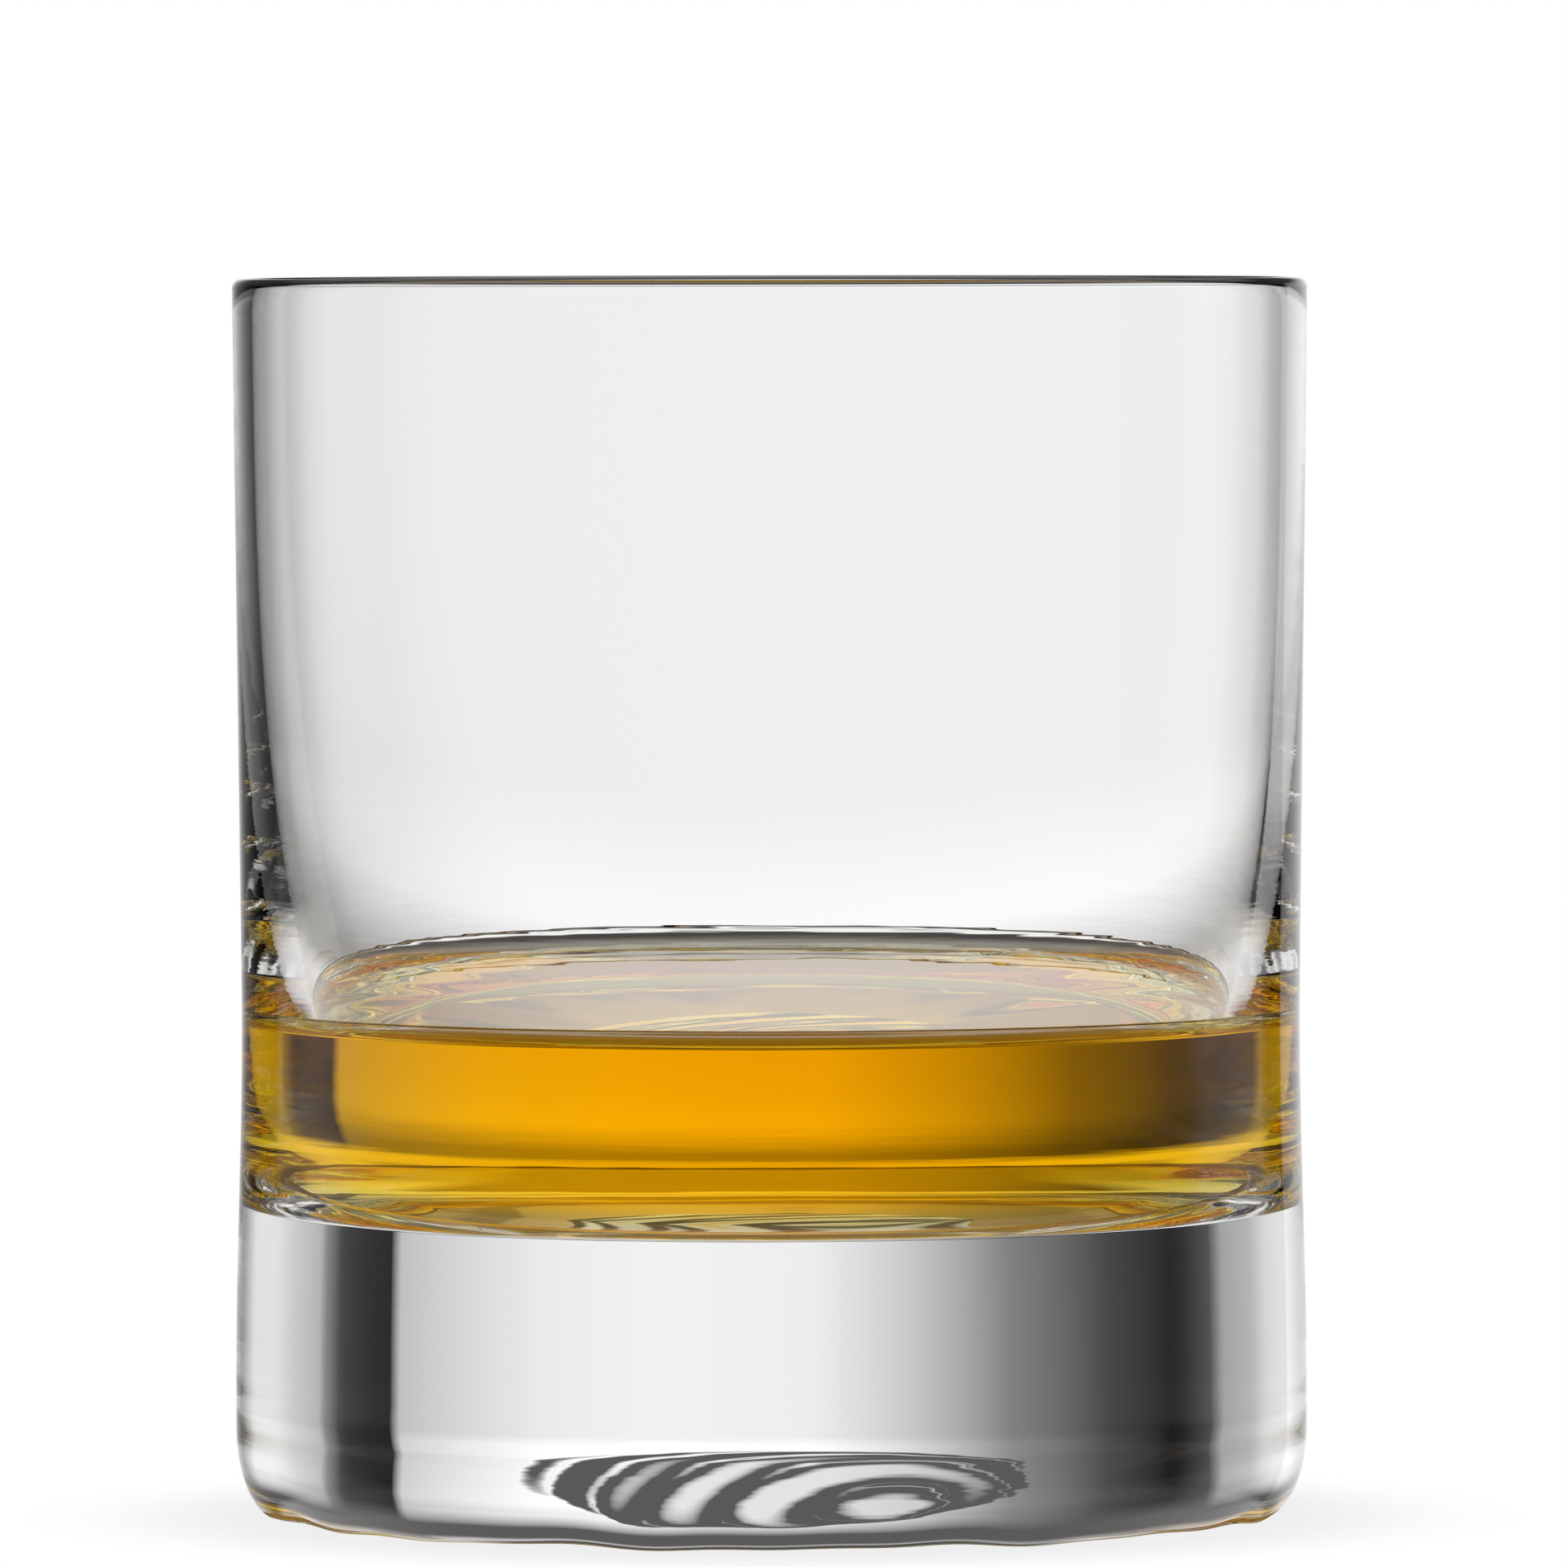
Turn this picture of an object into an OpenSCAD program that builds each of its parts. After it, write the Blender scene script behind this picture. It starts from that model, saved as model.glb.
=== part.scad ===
// Heavy-based whiskey tumbler with a measure of whisky in it.
// Millimetres. The origin is the middle of the standing ring and +Z is up,
// along the axis that both pieces are turned about.

/* [Tumbler outside] */
// Outer diameter at the rim
rim_d = 89; // [80:0.5:96]
// Height from the standing ring to the top of the rim
height = 102.5; // [92:0.5:120]
// Outer diameter at the waist, the slimmest place on the outside
waist_d = 87.7; // [80:0.1:88]
// Height of the waist
waist_z = 42; // [34:1:60]
// Outer diameter at the widest place of the base
base_d = 88.8; // [80:0.1:96]
// Height of the widest place of the base
base_z = 10; // [9:0.5:16]
// How far the rounding of the foot reaches inwards
foot_round_r = 3.3; // [1:0.1:5]
// How far the rounding of the foot reaches upwards
foot_round_h = 7.4; // [2:0.1:8.5]
// How much of the rounding is ground off flat at the standing ring
foot_ground = 0.15; // [0:0.05:0.5]

/* [Cavity] */
// Wall thickness at the rim
lip_t = 1.6; // [1.2:0.1:3]
// How much the cavity narrows steadily from the rim to the floor, in radius
taper = 0.8; // [0:0.1:2]
// How much more the wall thickens towards the floor, in radius
heel = 7.5; // [2:0.1:12]
// How late the wall thickens: a high power keeps the upper wall thin
heel_power = 3.2; // [2:0.1:6]
// Height of the cavity's floor above the standing ring
floor_z = 24.5; // [18:0.5:32]
// How far the rounded corner of the floor reaches inwards
corner_r = 5; // [2:0.5:8]
// How far the rounded corner of the floor reaches upwards
corner_h = 7; // [3:0.5:8]

/* [Underside] */
// Diameter of the hollow under the base
hollow_d = 37; // [24:0.5:44]
// Depth of the hollow at its edge
hollow_depth = 4.5; // [2:0.1:7]
// How much deeper the hollow is in its middle, under a shallow dome
hollow_dome = 1.7; // [0.5:0.1:4]
// Distance from one ripple to the next
ripple_pitch = 5; // [4:0.5:8]
// Depth of the ripples in the dome
ripple_height = 0.15; // [0.1:0.05:0.5]
// Middle of the ripples, to the right of the axis
ripple_x = 22; // [10:1:30]
// Middle of the ripples, towards the back
ripple_y = -30; // [-40:1:-10]

/* [Whisky] */
// Height of the whisky's level surface
level_z = 40.2; // [34:0.1:70]
// How far the whisky climbs the wall
meniscus_rise = 1.8; // [0.5:0.1:3]
// How far from the wall the surface starts to climb
meniscus_reach = 4; // [1:0.1:6]

/* [Hidden] */
$fn = 96;
rim_r = rim_d / 2;
waist_r = waist_d / 2;
base_r = base_d / 2;
lip_r = lip_t / 2;
hollow_r = hollow_d / 2;
// Ball that the hollow's dome is cut from
dome_r = (pow(hollow_r, 2) + pow(hollow_dome, 2)) / (2 * hollow_dome);
// First and last ripples that lie within the hollow
ripple_far = norm([ripple_x, ripple_y]);
first_ripple = max(0, ceil((ripple_far - hollow_r) / ripple_pitch));
last_ripple = floor((ripple_far + hollow_r) / ripple_pitch) - 1;
// Steps of the curved stretches
step_z = 3;
step_angle = 10;
// Small overlap where one solid is cut from another
cut = 1;

// Radius of the outside at height z: a bulged base, a waist and a straight flare
function outer_r(z) =
    z < base_z ? base_r
    : z < waist_z ? base_r + (waist_r - base_r) * (1 - cos(180 * (z - base_z) / (waist_z - base_z))) / 2
    : waist_r + (rim_r - waist_r) * (z - waist_z) / (height - lip_r - waist_z);

// Radius of the cavity at height z, before its floor corner is rounded
function wall_r(z) =
    let (s = (height - z) / (height - floor_z))
    rim_r - lip_t - taper * s - heel * pow(s, heel_power);

// Rounding of the foot, from the edge of the standing ring to the outside
foot_full_h = foot_round_h + foot_ground;
foot_start = acos(1 - foot_ground / foot_full_h);
foot_curve = concat(
    [[base_r - foot_round_r * (1 - sin(foot_start)), 0]],
    [for (i = [1 : 9])
        let (a = foot_start + (90 - foot_start) * i / 9)
        [base_r - foot_round_r * (1 - sin(a)), foot_full_h * (1 - cos(a)) - foot_ground]]);
// Outside, from the widest place of the base up to the rim
outer_curve = [for (z = [base_z : step_z : height - lip_r - step_z / 2])
    [outer_r(z), z]];
// Rounded lip, over the top of the wall
lip_curve = [for (a = [0 : 15 : 180])
    [rim_r - lip_r + lip_r * cos(a), height - lip_r + lip_r * sin(a)]];
// Wall of the cavity, from the lip down to the floor's corner
wall_curve = [for (z = [height - lip_r - step_z : -step_z : floor_z + corner_h + step_z / 2])
    [wall_r(z), z]];
// Rounded corner, from the wall to the floor
corner_curve = [for (a = [90 : -step_angle : 0])
    let (z = floor_z + corner_h * (1 - cos(a)))
    [wall_r(z) - corner_r * (1 - sin(a)), z]];
// Surface of the whisky: level in the middle, curling up where it meets the wall
surface_curve = [for (a = [0 : step_angle : 90])
    let (z = level_z + meniscus_rise * (1 - cos(a)))
    [wall_r(z) - meniscus_reach * (1 - sin(a)), z]];
// Wall and floor that the whisky touches
wet_wall = [for (p = wall_curve) if (p.y < level_z + meniscus_rise) p];

// Outline of the solid glass, before its underside is hollowed
module glass_outline() {
    polygon(concat(
        [[0, 0]], foot_curve, outer_curve, lip_curve,
        wall_curve, corner_curve, [[0, floor_z]]));
}

// Hollow under the base, as deep as asked at its edge
module hollow(depth) {
    intersection() {
        translate([0, 0, -cut]) cylinder(h = depth + hollow_dome + 2 * cut, r = hollow_r);
        translate([0, 0, depth + hollow_dome - dome_r]) sphere(r = dome_r);
    }
}

// One ripple: the tall ring that a trough of the dome is cut with
module ripple(radius) {
    translate([ripple_x, ripple_y, -cut])
        rotate_extrude()
            translate([radius, 0])
                square([ripple_pitch / 2, hollow_depth + hollow_dome + 2 * cut]);
}

// The glass: one piece, from its standing ring to its rim
module tumbler() {
    color([0.93, 0.95, 0.96, 0.45]) {
        difference() {
            rotate_extrude() glass_outline();
            hollow(hollow_depth - ripple_height);
            intersection() {
                hollow(hollow_depth);
                for (k = [first_ripple : last_ripple]) ripple((k + 0.25) * ripple_pitch);
            }
        }
    }
}

// The measure of whisky, down to the cavity's floor
module whisky() {
    color([0.86, 0.5, 0.02, 0.8])
        rotate_extrude()
            polygon(concat(
                [[0, floor_z], [0, level_z]], surface_curve,
                wet_wall, corner_curve));
}

tumbler();
whisky();
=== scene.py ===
"""Looks for the whiskey tumbler: clear glass, the whisky in it and a white studio.

Blender units are metres. Lengths that belong to the glass are written in
millimetres, as its design states them, and scaled by MM.
"""
import math

import bpy
import numpy as np
from mathutils import Matrix, Vector


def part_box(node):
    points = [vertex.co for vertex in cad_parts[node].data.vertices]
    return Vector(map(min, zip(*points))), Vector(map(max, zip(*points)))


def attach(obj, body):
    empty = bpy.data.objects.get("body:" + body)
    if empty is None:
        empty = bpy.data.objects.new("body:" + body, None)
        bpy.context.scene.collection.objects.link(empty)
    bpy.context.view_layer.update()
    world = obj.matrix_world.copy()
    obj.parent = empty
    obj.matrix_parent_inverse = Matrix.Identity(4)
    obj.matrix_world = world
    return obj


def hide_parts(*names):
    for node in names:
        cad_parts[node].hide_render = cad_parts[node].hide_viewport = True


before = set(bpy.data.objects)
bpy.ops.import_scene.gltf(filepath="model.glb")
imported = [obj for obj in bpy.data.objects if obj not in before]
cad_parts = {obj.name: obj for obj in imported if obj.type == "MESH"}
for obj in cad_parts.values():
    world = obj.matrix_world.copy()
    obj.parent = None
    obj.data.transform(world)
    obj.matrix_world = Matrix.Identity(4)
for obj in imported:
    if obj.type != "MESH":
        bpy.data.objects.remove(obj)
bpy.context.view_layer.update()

MM = 0.001

# ---------------------------------------------------------------- dimensions
LOW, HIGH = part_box("tumbler")
RIM_R = HIGH.x / MM
HEIGHT = HIGH.z / MM
WAIST_R = 43.85
WAIST_Z = 42.0
BASE_R = 44.4
BASE_Z = 10.0
FOOT_ROUND_R = 3.3
FOOT_ROUND_H = 7.4
FOOT_GROUND = 0.15

LIP_T = 1.6
LIP_R = LIP_T / 2
TAPER = 0.8
HEEL = 7.5
HEEL_POWER = 3.2
FLOOR_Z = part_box("whisky")[0].z / MM
CORNER_R = 5.0
CORNER_H = 7.0

HOLLOW_R = 18.5
HOLLOW_DEPTH = 4.5
HOLLOW_DOME = 1.7
HOLLOW_ROUND = 0.3
RIPPLE_PITCH = 5.0
RIPPLE_HEIGHT = 0.15
RIPPLE_X = 22.0
RIPPLE_Y = -30.0
# Largest unevenness of the foot, and the waves it is made of: how many there are
# round the foot, how high each is beside the first, and where it starts
FOOT_SWAY = 0.5
SWAY_WAVES = [(9, 1.0, 1.0), (16, 0.7, 2.2), (25, 0.5, 0.0)]
# The unevenness fades out on the standing ring, from its outer edge to this radius
SWAY_FROM_R = HOLLOW_R + 1

LEVEL_Z = 40.2
MENISCUS_RISE = 1.8
MENISCUS_REACH = 4.0
# How far the whisky's mesh reaches into the glass, so that no air shows between
WETTING = 0.05

AROUND = 256


# ---------------------------------------------------------------- profiles
def outer_r(z):
    """Radius of the outside at height z."""
    if z < BASE_Z:
        return BASE_R
    if z < WAIST_Z:
        swing = (1 - math.cos(math.pi * (z - BASE_Z) / (WAIST_Z - BASE_Z))) / 2
        return BASE_R + (WAIST_R - BASE_R) * swing
    return WAIST_R + (RIM_R - WAIST_R) * (z - WAIST_Z) / (HEIGHT - LIP_R - WAIST_Z)


def wall_r(z):
    """Radius of the cavity at height z, before its floor corner is rounded."""
    s = (HEIGHT - z) / (HEIGHT - FLOOR_Z)
    return RIM_R - LIP_T - TAPER * s - HEEL * s ** HEEL_POWER


def cavity_r(z):
    """Radius of the cavity at height z, rounded corner included."""
    inset = 0.0
    if z < FLOOR_Z + CORNER_H:
        rise = (z - FLOOR_Z) / CORNER_H
        inset = CORNER_R * (1 - math.sqrt(max(0.0, 1 - (1 - rise) ** 2)))
    return wall_r(z) - inset


def foot_profile(steps=40):
    """Rounding of the foot, ground flat at the standing ring, up to the outside."""
    full = FOOT_ROUND_H + FOOT_GROUND
    start = math.acos(1 - FOOT_GROUND / full)
    return [(BASE_R - FOOT_ROUND_R * (1 - math.sin(a)), full * (1 - math.cos(a)) - FOOT_GROUND)
            for a in np.linspace(start, math.pi / 2, steps)]


def wall_profile(steps=44):
    """Outside, from the foot up to the lip."""
    return [(outer_r(z), z) for z in np.linspace(FOOT_ROUND_H, HEIGHT - LIP_R, steps)[1:]]


def lip_profile(steps=14):
    """Rounded lip, over the top of the wall."""
    top = HEIGHT - LIP_R
    return [(RIM_R - LIP_R + LIP_R * math.cos(a), top + LIP_R * math.sin(a))
            for a in np.linspace(0, math.pi, steps)[1:]]


def inside_profile(steps=60):
    """Cavity, from the lip down to where its floor's corner starts."""
    top, low = HEIGHT - LIP_R, FLOOR_Z + CORNER_H
    return [(wall_r(z), z) for z in np.linspace(top, low, steps)[1:]]


def corner_profile(steps=24):
    """Rounded corner between the cavity's wall and its floor."""
    points = []
    for a in np.linspace(math.pi / 2, 0, steps)[1:]:
        z = FLOOR_Z + CORNER_H * (1 - math.cos(a))
        points.append((wall_r(z) - CORNER_R * (1 - math.sin(a)), z))
    return points


def floor_profile(steps=12):
    """Floor of the cavity, from its corner in to the middle."""
    edge = wall_r(FLOOR_Z) - CORNER_R
    return [(r, FLOOR_Z) for r in np.linspace(edge, 0, steps)[1:]]


def smooth_step(low, high, value):
    """0 below low, 1 above high and a smooth rise between them."""
    t = min(max((value - low) / (high - low), 0), 1)
    return t * t * (3 - 2 * t)


def hollow_z(x, y):
    """Height of the hollow's domed and rippled ceiling, or 0 outside it."""
    r = math.hypot(x, y)
    if r >= HOLLOW_R:
        return 0.0
    wave = math.cos(2 * math.pi * math.hypot(x - RIPPLE_X, y - RIPPLE_Y) / RIPPLE_PITCH)
    ceiling = (HOLLOW_DEPTH + HOLLOW_DOME * (1 - (r / HOLLOW_R) ** 2)
               - RIPPLE_HEIGHT / 2 * (1 + wave))
    edge = max(0.0, 1 - (HOLLOW_R - r) / HOLLOW_ROUND)
    return ceiling * math.sqrt(1 - edge ** 2)


def sway(x, y, z):
    """How far the foot's uneven, fire-polished skin lies above its ideal height."""
    turn = math.atan2(y, x)
    most = sum(size for _, size, _ in SWAY_WAVES)
    wave = sum(size * math.sin(count * turn + start) for count, size, start in SWAY_WAVES)
    return FOOT_SWAY * (most + wave) / (2 * most) * (1 - z / FOOT_ROUND_H) ** 2


# ---------------------------------------------------------------- meshes
def mesh_object(name, points, faces):
    """A smooth-shaded mesh object from points in millimetres."""
    mesh = bpy.data.meshes.new(name)
    mesh.from_pydata([Vector(p) * MM for p in points], [], faces)
    mesh.validate()
    mesh.update()
    mesh.polygons.foreach_set("use_smooth", [True] * len(mesh.polygons))
    piece = bpy.data.objects.new(name, mesh)
    bpy.context.collection.objects.link(piece)
    return piece


def lathe(name, outline, height_of=None):
    """Turns an outline about +Z. Its first and last points lie on the axis."""
    turn = [2 * math.pi * k / AROUND for k in range(AROUND)]
    points = [(0.0, 0.0, outline[0][1])]
    for r, z in outline[1:-1]:
        points += [(r * math.cos(t), r * math.sin(t), z) for t in turn]
    points.append((0.0, 0.0, outline[-1][1]))
    if height_of:
        points = [height_of(p) for p in points]
    rings = len(outline) - 2
    faces = [(0, 1 + (k + 1) % AROUND, 1 + k) for k in range(AROUND)]
    for ring in range(rings - 1):
        low = 1 + ring * AROUND
        for k in range(AROUND):
            j = (k + 1) % AROUND
            faces.append((low + k, low + j, low + AROUND + j, low + AROUND + k))
    last = len(points) - 1
    top = 1 + (rings - 1) * AROUND
    faces += [(last, top + k, top + (k + 1) % AROUND) for k in range(AROUND)]
    return mesh_object(name, points, faces)


def build_glass():
    """The glass: underside, foot, outside, lip, cavity and floor in one closed skin."""
    foot = foot_profile()
    radii = list(np.linspace(0, HOLLOW_R - HOLLOW_ROUND, 70))
    radii += [HOLLOW_R - HOLLOW_ROUND * math.cos(a) for a in np.linspace(0, math.pi / 2, 24)[1:]]
    radii += list(np.linspace(HOLLOW_R, foot[0][0], 40)[1:-1])
    underside = [(r, 0.0) for r in radii]
    outline = (underside + foot + wall_profile() + lip_profile()
               + inside_profile() + corner_profile() + floor_profile())

    def settle(point):
        """Lifts a point of the underside or the foot to its uneven height."""
        x, y, z = point
        r = math.hypot(x, y)
        if z == 0 and r < HOLLOW_R:
            return (x, y, hollow_z(x, y))
        if z < FOOT_ROUND_H and r > SWAY_FROM_R:
            share = smooth_step(SWAY_FROM_R, BASE_R - FOOT_ROUND_R, r)
            return (x, y, z + share * sway(x, y, z))
        return (x, y, z)

    return lathe("glass_body", outline, settle)


def build_whisky():
    """The whisky: its level surface with the meniscus, and the skin that wets the glass."""
    top_z = LEVEL_Z + MENISCUS_RISE
    skin = [(0.0, FLOOR_Z - WETTING)]
    edge = wall_r(FLOOR_Z) - CORNER_R
    skin += [(r, FLOOR_Z - WETTING) for r in np.linspace(0, edge, 10)[1:]]
    for z in np.linspace(FLOOR_Z, top_z, 60)[1:]:
        skin.append((cavity_r(z) + WETTING, z))
    surface = []
    for a in np.linspace(math.pi / 2, 0, 20):
        z = LEVEL_Z + MENISCUS_RISE * (1 - math.cos(a))
        surface.append((wall_r(z) - MENISCUS_REACH * (1 - math.sin(a)), z))
    level = [(r, LEVEL_Z) for r in np.linspace(surface[-1][0], 0, 10)[1:]]
    return lathe("whisky_pour", skin + surface + level)


# ---------------------------------------------------------------- materials
def add_node(tree, kind, inputs=(), **settings):
    """A node of a kind, with its settings and the values of its named inputs."""
    node = tree.nodes.new(kind)
    for key, value in settings.items():
        setattr(node, key, value)
    for key, value in dict(inputs).items():
        node.inputs[key].default_value = value
    return node


def clear_material(name, ior):
    """A material that light passes through, with its node tree and shader."""
    material = bpy.data.materials.new(name)
    material.use_nodes = True
    tree = material.node_tree
    shader = tree.nodes["Principled BSDF"]
    shader.inputs["Base Color"].default_value = (1, 1, 1, 1)
    shader.inputs["Transmission Weight"].default_value = 1.0
    shader.inputs["Roughness"].default_value = 0.0
    shader.inputs["IOR"].default_value = ior
    # No mirror image where the surface is met head on, as under a polarising filter
    shader.inputs["Specular Tint"].default_value = (0, 0, 0, 1)
    return material, tree, shader


def stretched_noise(tree, stretch, detail):
    """Noise over the piece, with its own scale along each axis, in waves a metre."""
    where = add_node(tree, "ShaderNodeTexCoord")
    scaled = add_node(tree, "ShaderNodeMapping", {"Scale": stretch})
    tree.links.new(where.outputs["Object"], scaled.inputs["Vector"])
    noise = add_node(tree, "ShaderNodeTexNoise", {"Scale": 1.0, "Detail": detail})
    tree.links.new(scaled.outputs["Vector"], noise.inputs["Vector"])
    return noise.outputs["Fac"]


def ripple_surface(tree, shader, height, depth, strength):
    """Lets a height pattern bend the surface's reflections and what is seen through it."""
    bump = add_node(tree, "ShaderNodeBump", {"Strength": strength, "Distance": depth})
    tree.links.new(height, bump.inputs["Height"])
    tree.links.new(bump.outputs["Normal"], shader.inputs["Normal"])


def glass_material():
    """Clear crystal glass, with faint level lines left by its making."""
    material, tree, shader = clear_material("clear_glass", 1.52)
    lines = stretched_noise(tree, (25, 25, 420), 3.0)
    ripple_surface(tree, shader, lines, 0.02 * MM, 0.5)
    return material


def whisky_material():
    """Amber spirit: coloured by its depth, with slow swirls in its skin."""
    material, tree, shader = clear_material("whisky", 1.36)
    swirls = stretched_noise(tree, (60, 60, 60), 1.0)
    ripple_surface(tree, shader, swirls, 0.02 * MM, 0.3)
    depth = add_node(tree, "ShaderNodeVolumeAbsorption", {
        "Color": (0.9955, 0.886, 0.010, 1), "Density": 110.0})
    output = tree.nodes["Material Output"]
    tree.links.new(depth.outputs["Volume"], output.inputs["Volume"])
    return material


def glow_material(name, strength=1.0):
    """A material that shines evenly, with its node tree and emission shader."""
    material = bpy.data.materials.new(name)
    material.use_nodes = True
    tree = material.node_tree
    tree.nodes.clear()
    glow = add_node(tree, "ShaderNodeEmission", {"Strength": strength})
    out = add_node(tree, "ShaderNodeOutputMaterial")
    tree.links.new(glow.outputs[0], out.inputs["Surface"])
    return material, tree, glow


# ---------------------------------------------------------------- studio
# Brightness of the cards and panels round the horizon, by degrees clockwise
# from straight behind the glass
STUDIO_RING = [
    (-180, 0.85), (-138, 0.80), (-128, 0.25), (-114, 0.4), (-98, 0.66), (-84, 0.5),
    (-70, 1.05), (-61, 0.8), (-54, 0.42), (-45.6, 0.3), (-44.5, 0.04), (-37, 0.004),
    (-28, 0.06), (-18, 0.22), (-9.5, 0.60), (-2.8, 0.85), (8, 0.89), (17, 0.83),
    (26, 0.65), (33, 0.51), (33.7, 0.01), (42, 0.015), (45.2, 0.2), (46, 0.4),
    (53, 0.58), (61, 0.87), (70, 1.0), (80, 0.25), (95, 0.15), (118, 0.25),
    (132, 0.80), (180, 0.85),
]
# How that changes with height on a ball of radius 1: where the change starts,
# where it is complete and what the brightness is multiplied by
LIFTS = [(0.0, 0.03, 1.22), (0.07, 0.11, 0.85), (-0.13, -0.19, 1.11), (-0.21, -0.29, 0.45)]
# The table below, then the dark card that lies on it straight behind the glass,
# then the table's near part: start, end and brightness
TABLE = (-0.32, -0.36, 0.90)
CARD = (-0.42, -0.46, 0.06)
NEAR_TABLE = (-0.56, -0.80, 0.25)
# Half the card's width, by degrees: all of it within the first, none past the second
CARD_WIDTH = (26, 36)
# The dark gap above the ring, the softly lit ceiling, its warm lamp and the dark above.
# The ceiling has half its own brightness and half that of the ring under it.
GAP = (0.13, 0.23, 0.10)
CEILING = (0.40, 0.50, 0.65)
LAMP = (0.60, 0.66, (1.0, 0.78, 0.45))
OVERHEAD = (0.78, 0.84, 0.06)

# The shaded patch of table under the glass
SHADE_R = 42.5
SHADE_Z = -0.05
SHADE_COLOUR = (0.22, 0.125, 0.04, 1)
# The floor's half width and height, and the contact shadow on it: its brightness,
# how far from the axis it is full, and where it ends
FLOOR_REACH = 4000
FLOOR_LOW = -0.2
SHADOW_LEVEL = 0.85
SHADOW_FULL_R = 36
SHADOW_END_R = 66

# The camera's place, focal length and the angles it is tipped down and leant by
EYE = (1.13, -1400, 108.6)
FOCAL_LENGTH = 388.0
SENSOR_WIDTH = 36.0
TIP = math.radians(1.965)
LEAN = math.radians(-0.1)


def fade(tree, value, start, end):
    """0 where value is at start and 1 where it is at end."""
    node = add_node(tree, "ShaderNodeMapRange", {"From Min": start, "From Max": end})
    tree.links.new(value, node.inputs["Value"])
    return node.outputs["Result"]


def multiply(tree, one, other):
    """The product of two values."""
    node = add_node(tree, "ShaderNodeMath", operation="MULTIPLY")
    tree.links.new(one, node.inputs[0])
    tree.links.new(other, node.inputs[1])
    return node.outputs[0]


def blend(tree, factor, base, other, kind="MIX"):
    """The colour base, blended with another colour or with a grey as factor rises."""
    node = add_node(tree, "ShaderNodeMix", data_type="RGBA", blend_type=kind)
    if isinstance(factor, float):
        node.inputs["Factor"].default_value = factor
    else:
        tree.links.new(factor, node.inputs["Factor"])
    tree.links.new(base, node.inputs["A"])
    if isinstance(other, float):
        other = (other, other, other)
    if isinstance(other, tuple):
        node.inputs["B"].default_value = (*other, 1)
    else:
        tree.links.new(other, node.inputs["B"])
    return node.outputs["Result"]


def studio_ring(tree, turn):
    """The cards and panels round the horizon, as a colour."""
    ring = add_node(tree, "ShaderNodeValToRGB")
    for degrees, _ in STUDIO_RING[1:-1]:
        ring.color_ramp.elements.new((degrees + 180) / 360)
    for stop, (degrees, level) in zip(ring.color_ramp.elements, STUDIO_RING):
        stop.position = (degrees + 180) / 360
        stop.color = (level, level, level, 1)
    tree.links.new(fade(tree, turn, -math.pi, math.pi), ring.inputs["Fac"])
    return ring.outputs["Color"]


def card_shape(tree, turn, height):
    """1 where the dark card lies on the table, 0 elsewhere."""
    aside = add_node(tree, "ShaderNodeMath", operation="ABSOLUTE")
    tree.links.new(turn, aside.inputs[0])
    inner, outer = (math.radians(side) for side in CARD_WIDTH)
    return multiply(tree, fade(tree, height, *CARD[:2]),
                    fade(tree, aside.outputs[0], outer, inner))


def studio_colour(tree):
    """What the glass sees around it, by direction."""
    where = add_node(tree, "ShaderNodeTexCoord")
    split = add_node(tree, "ShaderNodeSeparateXYZ")
    tree.links.new(where.outputs["Generated"], split.inputs[0])
    height = split.outputs["Z"]
    turn = add_node(tree, "ShaderNodeMath", operation="ARCTAN2")
    tree.links.new(split.outputs["X"], turn.inputs[0])
    tree.links.new(split.outputs["Y"], turn.inputs[1])

    colour = studio_ring(tree, turn.outputs[0])
    for start, end, level in LIFTS:
        colour = blend(tree, fade(tree, height, start, end), colour, level, "MULTIPLY")
    colour = blend(tree, fade(tree, height, *TABLE[:2]), colour, TABLE[2])
    colour = blend(tree, card_shape(tree, turn.outputs[0], height), colour, CARD[2])
    colour = blend(tree, fade(tree, height, *NEAR_TABLE[:2]), colour, NEAR_TABLE[2])
    ceiling = blend(tree, 0.5, colour, CEILING[2])
    colour = blend(tree, fade(tree, height, *GAP[:2]), colour, GAP[2])
    colour = blend(tree, fade(tree, height, *CEILING[:2]), colour, ceiling)
    colour = blend(tree, fade(tree, height, *LAMP[:2]), colour, LAMP[2], "MULTIPLY")
    return blend(tree, fade(tree, height, *OVERHEAD[:2]), colour, OVERHEAD[2])


def build_world():
    """White backdrop for the camera, and a studio of cards and panels for the glass."""
    world = bpy.data.worlds.new("studio")
    bpy.context.scene.world = world
    world.use_nodes = True
    tree = world.node_tree
    tree.nodes.clear()
    glass_sees = add_node(tree, "ShaderNodeBackground")
    tree.links.new(studio_colour(tree), glass_sees.inputs["Color"])
    camera_sees = add_node(tree, "ShaderNodeBackground", {"Color": (1, 1, 1, 1)})
    path = add_node(tree, "ShaderNodeLightPath")
    pick = add_node(tree, "ShaderNodeMixShader")
    tree.links.new(path.outputs["Is Camera Ray"], pick.inputs[0])
    tree.links.new(glass_sees.outputs[0], pick.inputs[1])
    tree.links.new(camera_sees.outputs[0], pick.inputs[2])
    out = add_node(tree, "ShaderNodeOutputWorld")
    tree.links.new(pick.outputs[0], out.inputs["Surface"])


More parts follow.
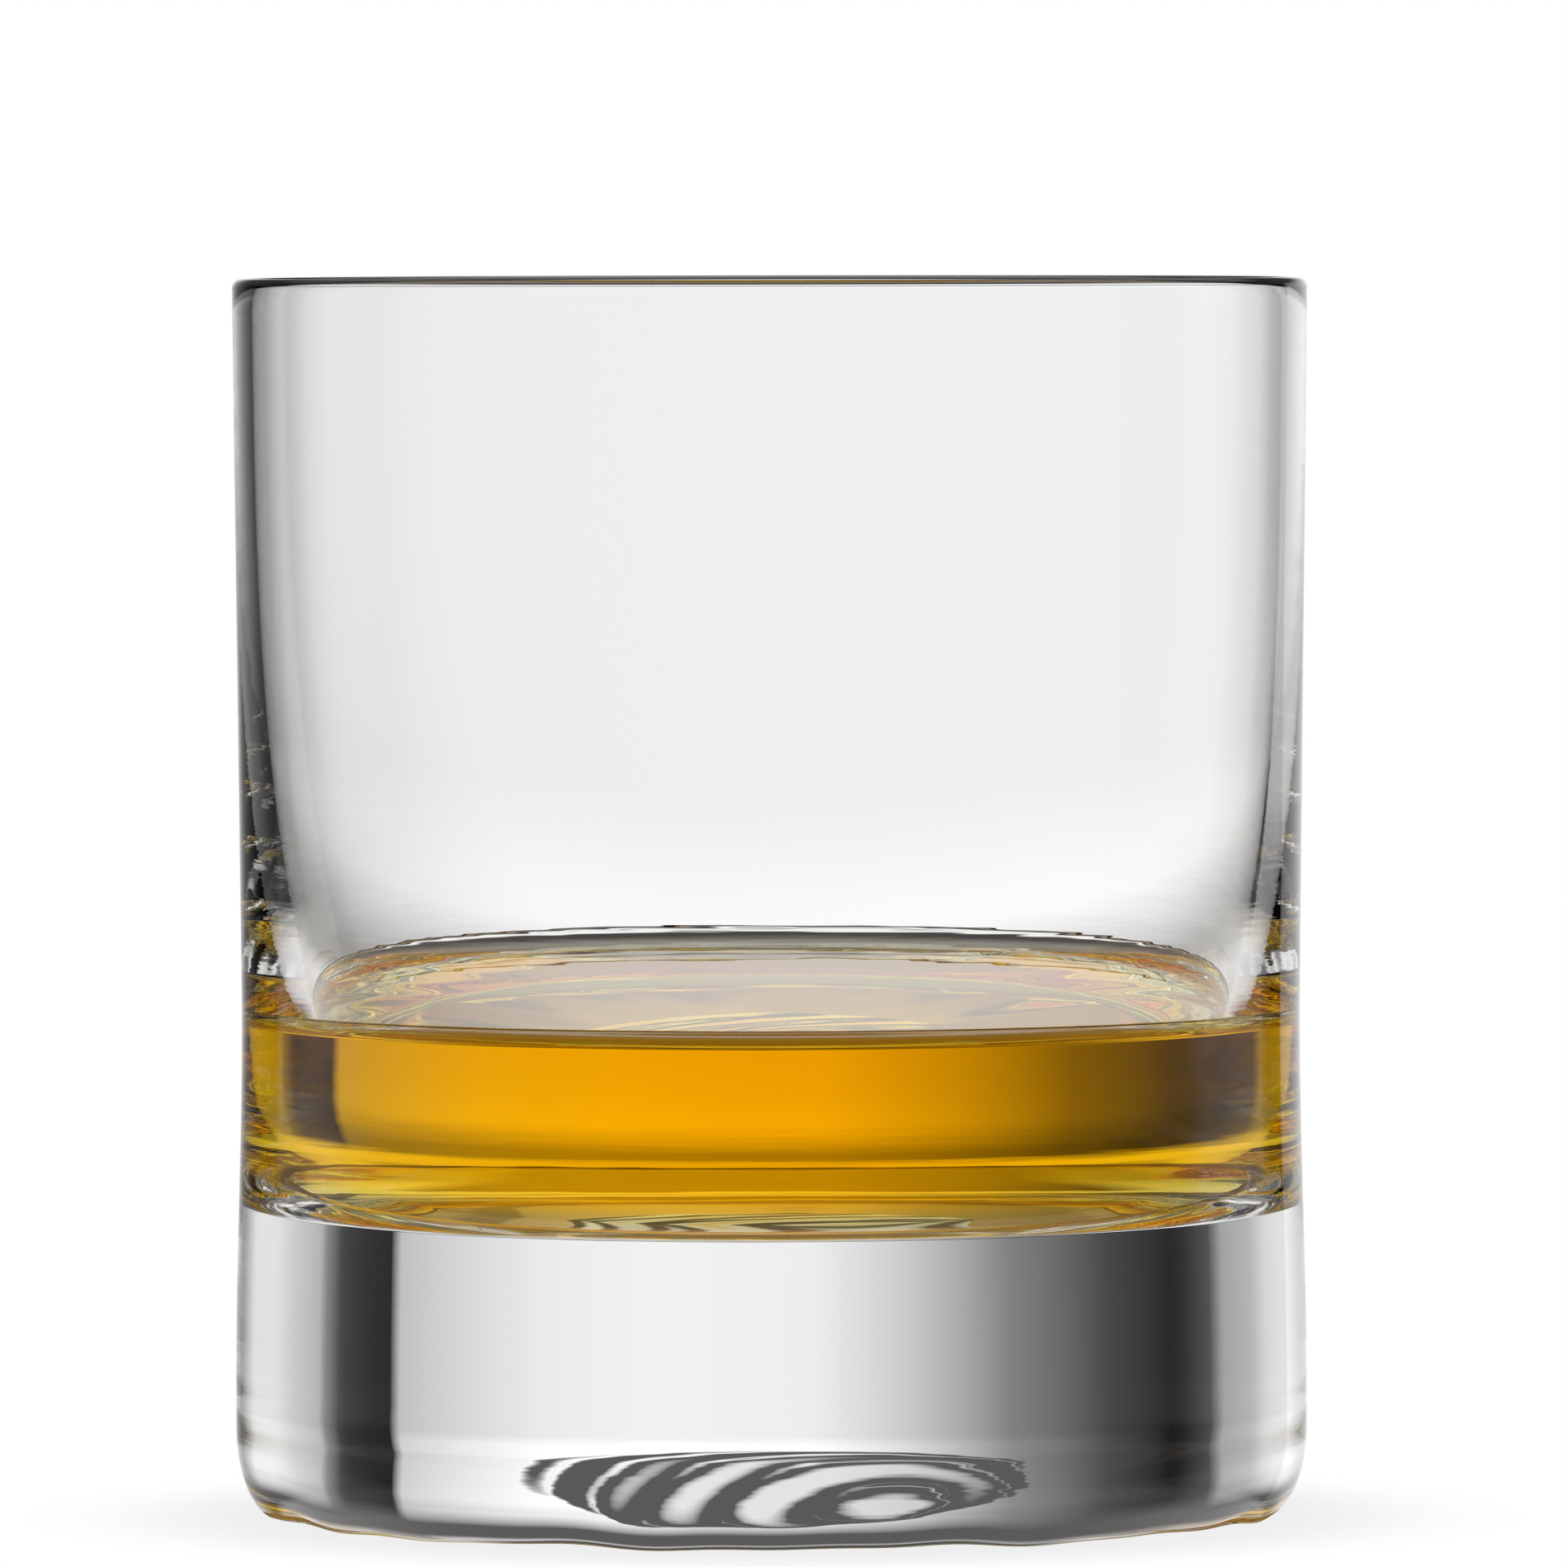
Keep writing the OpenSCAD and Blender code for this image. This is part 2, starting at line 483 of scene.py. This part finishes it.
def build_shade():
    """The shaded patch of table under the glass, which only the glass sees.

    It is warm, because the light that gets there has come through the whisky.
    """
    turn = np.linspace(0, 2 * math.pi, 65)[:-1]
    ring = [(SHADE_R * math.cos(t), SHADE_R * math.sin(t), SHADE_Z) for t in turn]
    patch = mesh_object("table_shade", ring, [tuple(range(len(ring)))])
    material, _, glow = glow_material("table_shade")
    glow.inputs["Color"].default_value = SHADE_COLOUR
    patch.data.materials.append(material)
    patch.visible_camera = False
    patch.visible_diffuse = False


def build_floor():
    """A pale floor with a soft contact shadow, which only the camera sees."""
    material, tree, glow = glow_material("floor")
    where = add_node(tree, "ShaderNodeTexCoord")
    spread = add_node(tree, "ShaderNodeVectorMath", operation="LENGTH")
    tree.links.new(where.outputs["Object"], spread.inputs[0])
    shadow = add_node(tree, "ShaderNodeMapRange", {
        "From Min": SHADOW_FULL_R * MM, "From Max": SHADOW_END_R * MM,
        "To Min": SHADOW_LEVEL}, interpolation_type="SMOOTHERSTEP")
    tree.links.new(spread.outputs["Value"], shadow.inputs["Value"])
    tree.links.new(shadow.outputs["Result"], glow.inputs["Strength"])
    corners = [(FLOOR_REACH * x, FLOOR_REACH * y, FLOOR_LOW)
               for x, y in ((-1, -1), (1, -1), (1, 1), (-1, 1))]
    floor = mesh_object("floor", corners, [(0, 1, 2, 3)])
    floor.data.materials.append(material)
    floor.visible_transmission = False
    floor.visible_glossy = False
    floor.visible_diffuse = False


def build_camera():
    """A long lens a little above the rim, tipped down and leaning a hair to one side."""
    lens = bpy.data.cameras.new("camera")
    lens.sensor_width = SENSOR_WIDTH
    lens.lens = FOCAL_LENGTH
    lens.clip_end = 20.0
    camera = bpy.data.objects.new("camera", lens)
    bpy.context.collection.objects.link(camera)
    camera.matrix_world = (Matrix.Translation(Vector(EYE) * MM)
                           @ Matrix.Rotation(math.pi / 2 - TIP, 4, "X")
                           @ Matrix.Rotation(LEAN, 4, "Z"))
    bpy.context.scene.camera = camera


# ---------------------------------------------------------------- scene
def dress(piece, material, node):
    """Gives a piece its material, hangs it under the root body and hides the CAD node it stands
    for.
    """
    piece.data.materials.append(material)
    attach(piece, "root")
    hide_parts(node)


scene = bpy.context.scene
scene.view_settings.view_transform = "Standard"
scene.cycles.max_bounces = 40
scene.cycles.transmission_bounces = 32
scene.cycles.glossy_bounces = 16
dress(build_glass(), glass_material(), "tumbler")
dress(build_whisky(), whisky_material(), "whisky")
build_world()
build_shade()
build_floor()
build_camera()
